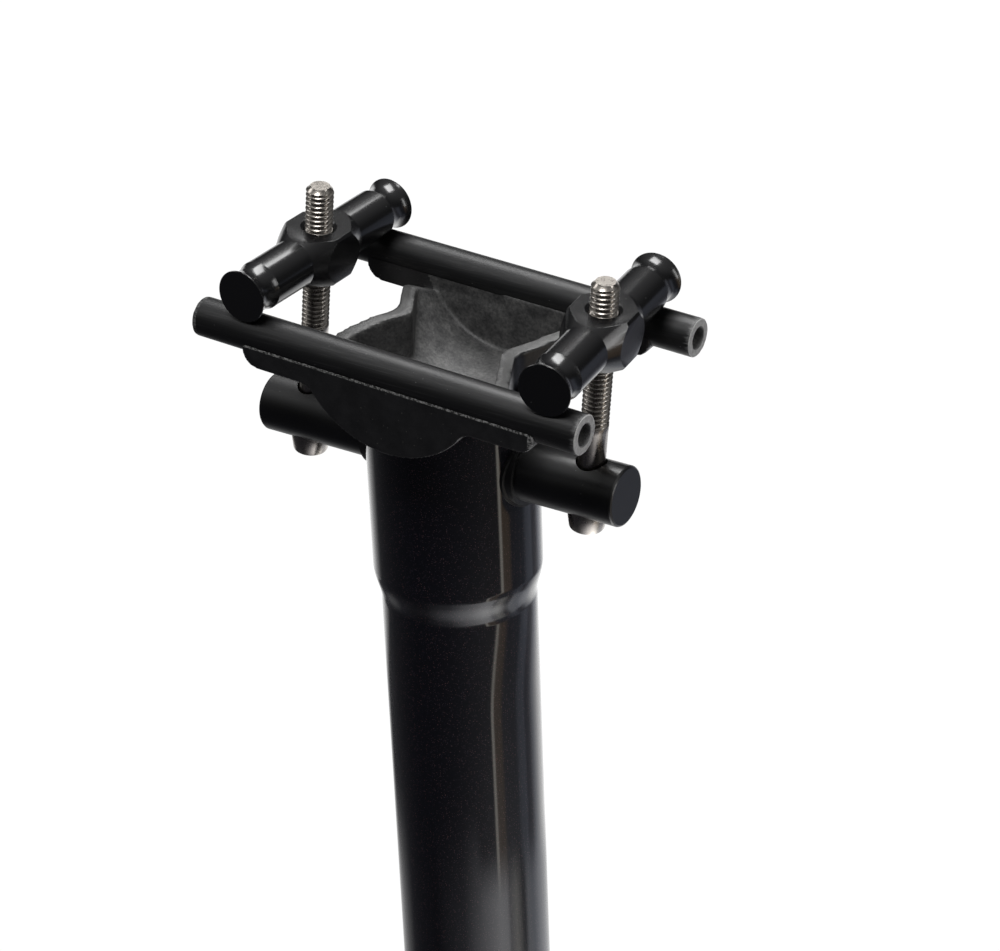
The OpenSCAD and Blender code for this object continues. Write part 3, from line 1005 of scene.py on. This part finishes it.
class SEATPOST_OT_cradle(bpy.types.Operator):
    """Moulded carbon cradle: rail seats joined by a waisted trough with a round belly"""

    bl_idname = "seatpost.cradle"
    bl_label = "Cradle"

    def execute(self, context):
        sizes = settings()
        rail_r = sizes.rail_d / 2
        rail_y = sizes.rail_spacing / 2
        seat_y = rail_y - rail_r
        centre = (0, 0, ROCKER_RISE)
        piece = rod("cradle_moulding", sizes.rocker_r, 2 * seat_y + MM, "Y", centre, 240)
        combine(piece, plate("waist", waist_outline(0, WAIST_ROUND), CUTTER, "Z"), "INTERSECT")
        for side, heights in RIMS.items():
            above = [(along * MM, height * MM) for along, height in heights]
            above = [(-y, z) for y, z in reversed(above[1:])] + above
            edge_z = above[-1][1]
            above += [(CUTTER, edge_z), (CUTTER, CUTTER), (-CUTTER, CUTTER), (-CUTTER, edge_z)]
            over = plate("over", above, CUTTER, "X")
            place(over, Matrix.Translation((side * CUTTER / 2, 0, 0)))
            combine(piece, over)
        hollow = rod(
            "hollow", sizes.rocker_r - sizes.cradle_wall, 2 * seat_y - 0.6 * MM, "Y", centre, 240
        )
        inner = plate("inner", waist_outline(sizes.cradle_wall, WAIST_CREASE_R), CUTTER, "Z")
        combine(hollow, inner, "INTERSECT")
        for side in (-1, 1):
            cheek = plate("cheek", side_outline(sizes), sizes.rail_d, "Y")
            place(cheek, Matrix.Translation((0, side * rail_y, 0)))
            combine(piece, cheek, "UNION")
        combine(piece, hollow)
        for side in (-1, 1):
            low = (-CUTTER, side * rail_y - rail_r - SEAT_CUT_ROOM, SEAT_CUT[0])
            high = (CUTTER, side * rail_y + rail_r + SEAT_CUT_ROOM, SEAT_CUT[1])
            combine(piece, block("seat_top", low, high))
        apply_modifier(piece, "REMESH", mode="VOXEL", voxel_size=VOXEL)
        apply_modifier(piece, "SMOOTH", factor=0.5, iterations=4)
        for side in (-1, 1):
            seat = rod(
                "seat", rail_r + RAIL_GAP, 2 * CUTTER, "X", (0, side * rail_y, 0), segments=128
            )
            combine(piece, seat)
        place(piece, cradle_matrix())
        finish_piece(
            piece, moulded_skin(), "rail_cradle", "cradle",
            [raw_carbon(), trimmed_carbon(), lip_highlight_and_worn_tip()],
        )
        self.paint_trough(piece, sizes, seat_y)
        return {"FINISHED"}

    def paint_trough(self, piece, sizes, seat_y):
        """Raw finish inside the trough, trimmed on its rim, a painted highlight on the plates' lips and
        wear on one tip.
        """
        back = cradle_matrix().inverted()
        for face in piece.data.polygons:
            spot = back @ face.center
            if abs(spot.y) > seat_y + 0.2 * MM:
                # Lip faces get the pale material as a painted highlight along each plate's top edge; the
                # near plate's front tip gets it as wear
                lip = spot.z > -1.35 * MM and abs(spot.y) > seat_y + sizes.rail_d - 0.5 * MM
                tip = spot.x > sizes.cradle_length / 2 - 1.3 * MM and spot.y < -seat_y
                if lip or (tip and spot.z > -4 * MM):
                    face.material_index = 3
                continue
            slope = FRONT_SLOPE if spot.x > 0 else REAR_SLOPE
            wall_x = max(WAIST_HALF + slope * abs(spot.y), WAIST_HALF + 0.6 * MM)
            below = sizes.rocker_r - math.hypot(spot.x, spot.z - ROCKER_RISE)
            share = min(wall_x - abs(spot.x), below) / sizes.cradle_wall
            if share > 0.75:
                face.material_index = 1
            elif share > 0.12 and face.normal.z > 0.6:
                face.material_index = 2


class SEATPOST_OT_rails(bpy.types.Operator):
    """Two sawn-off saddle rails of carbon tube"""

    bl_idname = "seatpost.rails"
    bl_label = "Rails"

    def execute(self, context):
        sizes = settings()
        outer = sizes.rail_d / 2
        bore = sizes.rail_bore_d / 2
        half = sizes.rail_length / 2 - SAWN_LOSS
        dull = rail_carbon()
        sawn = cut_end()
        core = bore_wall()
        for name, side in (("left", 1), ("right", -1)):
            worn = [(half - step * MM, outer - loss * MM) for step, loss in WORN_END]
            rings = [bore + (outer - bore) * part for part in END_RINGS]
            stations = [(-along, wide) for along, wide in worn]
            stations += [(half * i / 12, outer) for i in range(-11, 12)]
            stations += reversed(worn)
            stations += [(half, ring) for ring in rings]
            stations += [(half - inside, bore) for inside in BORE_END]
            stations += [(-half + inside, bore) for inside in reversed(BORE_END)]
            stations += [(-half, ring) for ring in reversed(rings)]
            piece = turned(name + "_saddle_rail", stations, ring=True)
            self.roughen(piece, half)
            place(
                piece,
                cradle_matrix()
                @ Matrix.Translation((-RAIL_SETBACK, side * sizes.rail_spacing / 2, 0))
                @ Matrix.Rotation(math.pi / 2, 4, "Y"),
            )
            finish_piece(piece, dull, name + "_rail", name + "_rail", [sawn, core])
            self.paint_ends(piece, side * sizes.rail_spacing / 2, bore)
        return {"FINISHED"}

    def roughen(self, piece, half):
        """Sawn ends that aren't quite flat, round or even."""
        group = piece.vertex_groups.new(name="ends")
        close = [v.index for v in piece.data.vertices if abs(v.co.z) > half - 0.2 * MM]
        group.add(close, 1.0, "REPLACE")
        texture = bpy.data.textures.new("sawn", "CLOUDS")
        texture.noise_scale = 1.1 * MM
        apply_modifier(
            piece, "DISPLACE", texture=texture, strength=0.16 * MM, mid_level=0.5,
            vertex_group="ends", texture_coords="LOCAL",
        )
        piece.vertex_groups.clear()

    def paint_ends(self, piece, middle_y, bore):
        """Gives the two cut faces the sawn finish and the bore its own."""
        back = cradle_matrix().inverted()
        spots = [back @ face.center for face in piece.data.polygons]
        reach = max(abs(spot.x + RAIL_SETBACK) for spot in spots)
        axis = Vector(JOINTS["left_rail_slide"]["axis"])
        for face, spot in zip(piece.data.polygons, spots):
            along = abs(spot.x + RAIL_SETBACK)
            if math.hypot(spot.y - middle_y, spot.z) < bore + 0.1 * MM:
                face.material_index = 2
            elif along > reach - 0.35 * MM and abs(face.normal.dot(axis)) > 0.5:
                face.material_index = 1


class SEATPOST_OT_bars(bpy.types.Operator):
    """Two anodised clamp bars, turned, grooved for the rails and milled round the bolt"""

    bl_idname = "seatpost.bars"
    bl_label = "Clamp bars"

    def execute(self, context):
        sizes = settings()
        material = anodised("anodised_bar", 0.2, "y")
        for end, facts in ENDS.items():
            piece = turned(end + "_bar_turned", self.stations(sizes))
            place(piece, Matrix.Rotation(math.pi / 2, 4, "X"))
            self.mill(piece, sizes)
            soften(piece, 0.13 * MM)
            place(
                piece,
                bolt_matrix(end)
                @ Matrix.Translation((0, 0, bolt_reach(end)))
                @ Matrix.Rotation(facts["yaw"], 4, "Z"),
            )
            finish_piece(
                piece, material, end + "_clamp_bar", end + "_bar",
                smooth=CRISP_ANGLE,
            )
        return {"FINISHED"}

    def stations(self, sizes):
        """Half outline from the middle to one end, and its mirror image."""
        bar_r = sizes.bar_d / 2
        rail_y = sizes.rail_spacing / 2
        groove_r = sizes.rail_d / 2 + GROOVE_ROOM
        flange = bar_r + FLANGE_RISE
        deep = bar_r - BAR_DROP
        side = [(0.5 * MM, BOSS_D / 2), (BOSS_ROUND_HALF, BOSS_D / 2), (BOSS_LENGTH / 2, bar_r)]
        inner = math.sqrt(INNER_GROOVE_R ** 2 - (INNER_GROOVE_R - BAR_DROP) ** 2)
        side.append((BOSS_LENGTH / 2 + 0.4 * MM, bar_r))
        side.append((rail_y - inner - 0.4 * MM, bar_r))
        for i in range(11):
            along = inner * (i / 10 - 1)
            rise = INNER_GROOVE_R - math.sqrt(INNER_GROOVE_R ** 2 - along ** 2)
            side.append((rail_y + along, deep + rise))
        outer = math.sqrt(groove_r ** 2 - (groove_r - flange + deep) ** 2)
        half = rail_y + outer + sizes.bar_rim
        for i in range(1, 13):
            along = outer * i / 12
            side.append((rail_y + along, deep + groove_r - math.sqrt(groove_r ** 2 - along ** 2)))
        side += [(half - BAR_EDGE, flange), (half, flange - BAR_EDGE)]
        other = [(-height, radius) for height, radius in reversed(side)]
        return other + side

    def mill(self, piece, sizes):
        """Flats round the boss, and the countersunk bolt hole."""
        boss_end = BOSS_LENGTH / 2
        for side in (-1, 1):
            near, far = sorted((side * BOSS_HEIGHT / 2, side * BOSS_D))
            combine(piece, block("mill", (-BOSS_D, -boss_end, near), (BOSS_D, boss_end, far)))
            near, far = sorted((side * BOSS_WIDTH / 2, side * BOSS_D))
            combine(piece, block("mill", (near, -boss_end, -BOSS_D), (far, boss_end, BOSS_D)))
        radius = sizes.bolt_d / 2
        deep = BOSS_HEIGHT / 2
        wide = radius + COUNTERSINK
        hole = turned(
            "hole",
            [
                (-deep - COUNTERSINK, wide + COUNTERSINK), (-deep + COUNTERSINK, radius),
                (deep - COUNTERSINK, radius), (deep + COUNTERSINK, wide + COUNTERSINK),
            ],
            segments=64,
        )
        combine(piece, hole)


class SEATPOST_OT_bolts(bpy.types.Operator):
    """Two titanium bolts with rolled threads, smooth shanks and tapered socket heads"""

    bl_idname = "seatpost.bolts"
    bl_label = "Bolts"

    def execute(self, context):
        sizes = settings()
        material = titanium()
        for end, facts in ENDS.items():
            top = bolt_reach(end) + facts["rise"]
            piece = self.thread(end + "_bolt_turned", sizes, top)
            crest = sizes.bolt_d / 2 - BOLT_GAP
            head_r = sizes.bolt_head_d / 2
            head = sizes.bolt_head_height
            start = top - THREAD_LENGTH
            stations = [(-head + rise, radius) for rise, radius in HEAD_TIP]
            stations += [
                (-0.35 * MM, head_r - 0.04 * MM), (-0.1 * MM, head_r - 0.12 * MM),
                (0, head_r - 0.35 * MM), (0, crest - 0.05 * MM),
                (start - 1.15 * MM, crest - 0.05 * MM), (start - MM, crest),
                (start + 0.1 * MM, crest), (start + 0.4 * MM, crest - 0.35 * MM),
            ]
            combine(piece, turned("shank", stations), "UNION")
            combine(piece, rod(
                "socket", HEX_AF / 2 / math.cos(math.pi / 6), 2 * HEX_DEPTH, "Z", (0, 0, -head), 6
            ))
            place(piece, bolt_matrix(end))
            finish_piece(
                piece, material, end + "_clamp_bolt", end + "_bolt",
                smooth=THREAD_ANGLE,
            )
        return {"FINISHED"}

    def thread(self, name, sizes, top):
        """One pitch of the thread's outline, screwed round the axis, then trimmed to length."""
        crest = sizes.bolt_d / 2 - BOLT_GAP
        turns = math.ceil(THREAD_LENGTH / THREAD_PITCH) + 2
        base = top - (turns - 1) * THREAD_PITCH
        points = [
            Vector((crest - THREAD_DEPTH * depth, 0, base + THREAD_PITCH * share))
            for share, depth in THREAD_OUTLINE
        ]
        piece = drawn(name, points)
        bpy.ops.object.mode_set(mode="OBJECT")
        apply_modifier(
            piece, "SCREW", axis="Z", angle=2 * math.pi, screw_offset=THREAD_PITCH,
            iterations=turns, steps=STEPS_PER_TURN, render_steps=STEPS_PER_TURN,
        )
        bpy.ops.object.mode_set(mode="EDIT")
        bpy.ops.mesh.select_all(action="SELECT")
        bpy.ops.mesh.remove_doubles(threshold=0.002 * MM)
        bpy.ops.mesh.select_all(action="SELECT")
        bpy.ops.mesh.fill_holes(sides=0)
        outward(piece)
        envelope = turned(
            "envelope",
            [
                (top - THREAD_LENGTH - 0.2 * MM, crest + MM), (top - 0.95 * MM, crest + MM),
                (top - 0.95 * MM, crest + 0.02 * MM), (top - 0.25 * MM, crest - 0.68 * MM),
                (top - 0.02 * MM, crest - 0.8 * MM),
            ],
            segments=64,
        )
        combine(piece, envelope, "INTERSECT")
        return piece


class SEATPOST_OT_washers(bpy.types.Operator):
    """Two dished steel washers that let the bolts lean in the pin"""

    bl_idname = "seatpost.washers"
    bl_label = "Dished washers"

    def execute(self, context):
        sizes = settings()
        material = washer_steel()
        bore = sizes.bolt_d / 2
        ball_r = bore + WASHER_WALL
        top = math.sqrt(ball_r ** 2 - (bore + WASHER_CROWN) ** 2)
        for end in ENDS:
            stations = [(0, bore + WASHER_EDGE), (0, ball_r - WASHER_EDGE)]
            for i in range(1, 17):
                height = top * i / 16
                stations.append((height, math.sqrt(ball_r ** 2 - height ** 2)))
            stations += [(top, bore + WASHER_EDGE), (top - WASHER_EDGE, bore), (WASHER_EDGE, bore)]
            piece = turned(end + "_washer_turned", stations, segments=64, ring=True)
            place(piece, bolt_matrix(end))
            finish_piece(piece, material, end + "_dished_washer", end + "_washer")
        return {"FINISHED"}


# ---- Stage ----

# The floor is plain only to look at directly. In reflections it carries an uneven light, which the
# three lists give by direction: degrees from the front right, anticlockwise from above, then colour.
# Surroundings beyond the lit floor. Nearer than DRIFT_EDGE they lie DRIFT degrees clockwise.
SURROUNDINGS = [
    (-180, (1.3, 1.3, 1.3)), (-152, (1.0, 1.0, 1.0)), (-128, (0.05, 0.05, 0.055)),
    (-60, (0.02, 0.02, 0.025)), (56, (0.02, 0.02, 0.025)), (58, (2.0, 1.9, 1.7)),
    (60, (2.0, 1.9, 1.7)), (62, (0.42, 0.3, 0.2)), (72, (0.34, 0.24, 0.16)),
    (76, (0.05, 0.055, 0.075)), (97, (0.07, 0.08, 0.1)), (104, (0.24, 0.26, 0.32)),
    (114, (0.24, 0.26, 0.32)), (120, (0.08, 0.08, 0.1)), (128, (0.1, 0.1, 0.12)),
    (138, (0.5, 0.52, 0.58)), (157, (1.2, 1.2, 1.2)), (180, (1.3, 1.3, 1.3)),
]
# The lit floor further out: up to WIDE_EDGE, or up to TIGHT_EDGE in directions past IN_FRONT
FLOOR_FAR = [
    (-180, (0.9, 0.9, 0.9)), (-110, (0.05, 0.05, 0.06)), (-60, (0.02, 0.02, 0.022)),
    (-16, (0.2, 0.2, 0.22)), (-7, (0.44, 0.44, 0.47)), (2, (0.72, 0.72, 0.76)),
    (20, (1.2, 1.2, 1.25)), (39, (1.85, 1.85, 1.9)), (50, (1.6, 1.6, 1.65)),
    (55, (0.7, 0.7, 0.73)), (66, (1.0, 0.98, 0.92)), (72, (0.6, 0.58, 0.55)),
    (79, (0.08, 0.08, 0.08)), (83, (0.08, 0.08, 0.09)), (90, (0.66, 0.68, 0.74)),
    (103, (0.5, 0.53, 0.6)), (118, (0.76, 0.78, 0.84)), (160, (0.9, 0.9, 0.9)),
    (180, (0.9, 0.9, 0.9)),
]
# The lit floor close to the post, up to CLOSE_EDGE
FLOOR_CLOSE = [
    (-180, (1.0, 1.0, 1.0)), (-115, (0.05, 0.05, 0.05)), (-60, (0.15, 0.15, 0.16)),
    (-25, (0.7, 0.7, 0.75)), (20, (1.8, 1.8, 1.85)), (50, (3.4, 3.4, 3.4)), (70, (4.6, 4.6, 4.6)),
    (90, (3.2, 3.2, 3.2)), (120, (1.0, 1.0, 1.0)), (180, (0.6, 0.6, 0.6)),
]
FLOOR_TURN = math.radians(56.2)  # from the front to the front right, where directions start
# Where each part of the lit floor starts to fade and is gone, in metres from the post
CLOSE_EDGE = (0.14, 0.24)
WIDE_EDGE = (0.27, 0.36)
TIGHT_EDGE = (0.295, 0.33)
DRIFT_EDGE = (0.4, 0.46)
DRIFT = 20               # degrees
IN_FRONT = (math.radians(4), math.radians(16))  # directions where WIDE_EDGE gives way to TIGHT_EDGE
FLOOR_WHITE = 1.02       # light of the floor seen directly


def floor_material():
    """Pale floor, even white to look at. In reflections its light changes with direction."""
    material = bpy.data.materials.new("pale_floor")
    material.use_nodes = True
    tree = material.node_tree
    tree.nodes.clear()

    def node(kind, **values):
        """A node with its properties set."""
        made = tree.nodes.new(kind)
        for key, value in values.items():
            setattr(made, key, value)
        return made

    def fade(value, edge):
        """1 below the edge's start and 0 above its end, smooth between."""
        made = node("ShaderNodeMapRange", interpolation_type="SMOOTHSTEP")
        made.inputs["From Min"].default_value = edge[0]
        made.inputs["From Max"].default_value = edge[1]
        made.inputs["To Min"].default_value = 1
        made.inputs["To Max"].default_value = 0
        tree.links.new(value, made.inputs["Value"])
        return made.outputs[0]

    def mix(kind, factor, first, second):
        """Blends two numbers or two colours."""
        made = node("ShaderNodeMix", data_type=kind)
        start = 2 if kind == "FLOAT" else 6
        tree.links.new(factor, made.inputs[0])
        tree.links.new(first, made.inputs[start])
        tree.links.new(second, made.inputs[start + 1])
        return made.outputs[0 if kind == "FLOAT" else 2]

    def by_direction(share, stops):
        """A colour for each direction."""
        made = node("ShaderNodeValToRGB")
        for degrees, colour in stops[1:-1]:
            made.color_ramp.elements.new((degrees + 180) / 360).color = (*colour, 1)
        made.color_ramp.elements[0].color = (*stops[0][1], 1)
        made.color_ramp.elements[-1].color = (*stops[-1][1], 1)
        tree.links.new(share, made.inputs[0])
        return made.outputs[0]

    turn = node("ShaderNodeMapping")
    turn.inputs["Rotation"].default_value = (0, 0, FLOOR_TURN)
    tree.links.new(node("ShaderNodeTexCoord").outputs["Object"], turn.inputs["Vector"])
    split = node("ShaderNodeSeparateXYZ")
    tree.links.new(turn.outputs["Vector"], split.inputs[0])
    angle = node("ShaderNodeMath", operation="ARCTAN2")
    tree.links.new(split.outputs["Y"], angle.inputs[0])
    tree.links.new(split.outputs["X"], angle.inputs[1])
    share = node("ShaderNodeMapRange")
    share.inputs["From Min"].default_value = -math.pi
    share.inputs["From Max"].default_value = math.pi
    tree.links.new(angle.outputs[0], share.inputs["Value"])
    length = node("ShaderNodeVectorMath", operation="LENGTH")
    tree.links.new(turn.outputs["Vector"], length.inputs[0])
    in_front = node("ShaderNodeMapRange", interpolation_type="SMOOTHSTEP")
    in_front.inputs["From Min"].default_value = IN_FRONT[0]
    in_front.inputs["From Max"].default_value = IN_FRONT[1]
    tree.links.new(angle.outputs[0], in_front.inputs["Value"])
    wide = fade(length.outputs["Value"], WIDE_EDGE)
    tight = fade(length.outputs["Value"], TIGHT_EDGE)
    far = mix("FLOAT", in_front.outputs[0], wide, tight)
    drift = node("ShaderNodeMath", operation="MULTIPLY_ADD")
    tree.links.new(fade(length.outputs["Value"], DRIFT_EDGE), drift.inputs[0])
    drift.inputs[1].default_value = DRIFT / 360
    tree.links.new(share.outputs[0], drift.inputs[2])
    colour = mix(
        "RGBA", far, by_direction(drift.outputs[0], SURROUNDINGS),
        by_direction(share.outputs[0], FLOOR_FAR),
    )
    close = fade(length.outputs["Value"], CLOSE_EDGE)
    colour = mix("RGBA", close, colour, by_direction(share.outputs[0], FLOOR_CLOSE))
    reflected = node("ShaderNodeEmission")
    tree.links.new(colour, reflected.inputs["Color"])
    white = node("ShaderNodeEmission")
    white.inputs["Color"].default_value = (1, 1, 1, 1)
    white.inputs["Strength"].default_value = FLOOR_WHITE
    seen = node("ShaderNodeMixShader")
    tree.links.new(node("ShaderNodeLightPath").outputs["Is Camera Ray"], seen.inputs[0])
    tree.links.new(reflected.outputs[0], seen.inputs[1])
    tree.links.new(white.outputs[0], seen.inputs[2])
    output = node("ShaderNodeOutputMaterial")
    tree.links.new(seen.outputs[0], output.inputs["Surface"])
    return material


# The camera: angles about the post, where it stands in metres, and its lens in millimetres
CAMERA_AZIMUTH = math.radians(32.77)
CAMERA_ELEVATION = math.radians(29.92)
CAMERA_ROLL = math.radians(-2.23)
CAMERA_PLACE = (0.28449, -0.42418, 0.61128)
CAMERA_LENS = 107.3
CAMERA_SHIFT = (-0.0028, -0.0040)


def softbox(name, location, target, width, height, power):
    """A soft rectangular light facing a point."""
    light = bpy.data.lights.new(name, "AREA")
    light.shape = "RECTANGLE"
    light.size = width
    light.size_y = height
    light.energy = power
    lamp = bpy.data.objects.new(name, light)
    bpy.context.scene.collection.objects.link(lamp)
    lamp.location = location
    facing = Vector(target) - Vector(location)
    lamp.rotation_euler = facing.to_track_quat("-Z", "Y").to_euler()
    return lamp


class SEATPOST_OT_stage(bpy.types.Operator):
    """Plain pale floor, soft studio light and the camera"""

    bl_idname = "seatpost.stage"
    bl_label = "Stage"

    def execute(self, context):
        start_clean()
        bpy.ops.mesh.primitive_plane_add(size=12, location=(0, 0, -0.5 * MM))
        floor = bpy.context.object
        floor.name = "floor"
        floor.data.materials.append(floor_material())
        self.world()
        head = (0, 0, RAIL_LINE)
        softbox("overhead", (-0.12, 0.3, 0.95), head, 0.4, 0.4, 5.0)
        softbox("front", (0.05, -0.35, 1.1), head, 0.3, 0.3, 4.5)
        softbox("left", (-0.8, -0.25, 0.8), head, 0.3, 0.3, 1.0)
        softbox("right", (0.8, 0.1, 0.5), head, 0.12, 0.5, 1.0)
        self.camera()
        bpy.context.scene.view_settings.view_transform = "Standard"
        return {"FINISHED"}

    def world(self):
        """Bright overhead, dark round the horizon."""
        world = bpy.data.worlds.new("studio")
        bpy.context.scene.world = world
        world.use_nodes = True
        tree = world.node_tree
        background = tree.nodes["Background"]
        place_node = tree.nodes.new("ShaderNodeTexCoord")
        split = tree.nodes.new("ShaderNodeSeparateXYZ")
        fade = tree.nodes.new("ShaderNodeMapRange")
        fade.interpolation_type = "SMOOTHSTEP"
        fade.inputs["From Min"].default_value = 0.1
        fade.inputs["From Max"].default_value = 0.9
        fade.inputs["To Min"].default_value = 0.02
        fade.inputs["To Max"].default_value = 0.3
        tree.links.new(place_node.outputs["Generated"], split.inputs[0])
        tree.links.new(split.outputs["Z"], fade.inputs["Value"])
        tree.links.new(fade.outputs[0], background.inputs["Strength"])
        background.inputs["Color"].default_value = (1, 1, 1, 1)

    def camera(self):
        """A long lens from the front right, a little above the clamp."""
        lens = bpy.data.cameras.new("camera")
        lens.lens = CAMERA_LENS
        lens.sensor_width = 36
        lens.shift_x = CAMERA_SHIFT[0]
        lens.shift_y = CAMERA_SHIFT[1]
        lens.clip_start = 0.05
        camera = bpy.data.objects.new("camera", lens)
        bpy.context.scene.collection.objects.link(camera)
        turn = Matrix.Rotation(CAMERA_AZIMUTH, 3, "Z")
        turn = turn @ Matrix.Rotation(math.pi / 2 - CAMERA_ELEVATION, 3, "X")
        turn = turn @ Matrix.Rotation(CAMERA_ROLL, 3, "Z")
        camera.matrix_world = Matrix.Translation(CAMERA_PLACE) @ turn.to_4x4()
        bpy.context.scene.camera = camera


class SEATPOST_PT_panel(bpy.types.Panel):
    """Sizes, colours and the buttons that build the pieces"""

    bl_idname = "SEATPOST_PT_panel"
    bl_label = "Seatpost"
    bl_space_type = "VIEW_3D"
    bl_region_type = "UI"
    bl_category = "Seatpost"

    def draw(self, context):
        layout = self.layout
        values = context.scene.seatpost
        for label in values.bl_rna.properties.keys():
            if label not in ("rna_type", "name"):
                layout.prop(values, label)
        for operator in OPERATORS:
            layout.operator(operator.bl_idname)


OPERATORS = [
    SEATPOST_OT_tube,
    SEATPOST_OT_bushes,
    SEATPOST_OT_pin,
    SEATPOST_OT_cradle,
    SEATPOST_OT_rails,
    SEATPOST_OT_bars,
    SEATPOST_OT_bolts,
    SEATPOST_OT_washers,
    SEATPOST_OT_stage,
]


def register():
    """Adds the classes and the scene's settings."""
    bpy.utils.register_class(SeatpostSettings)
    bpy.types.Scene.seatpost = bpy.props.PointerProperty(type=SeatpostSettings)
    for operator in OPERATORS:
        bpy.utils.register_class(operator)
    bpy.utils.register_class(SEATPOST_PT_panel)


def unregister():
    """Takes the classes and the scene's settings away again."""
    bpy.utils.unregister_class(SEATPOST_PT_panel)
    for operator in reversed(OPERATORS):
        bpy.utils.unregister_class(operator)
    del bpy.types.Scene.seatpost
    bpy.utils.unregister_class(SeatpostSettings)


def main():
    """Builds everything."""
    register()
    bpy.ops.seatpost.tube()
    bpy.ops.seatpost.bushes()
    bpy.ops.seatpost.pin()
    bpy.ops.seatpost.cradle()
    bpy.ops.seatpost.rails()
    bpy.ops.seatpost.bars()
    bpy.ops.seatpost.bolts()
    bpy.ops.seatpost.washers()
    bpy.ops.seatpost.stage()


if __name__ == "__main__":
    main()
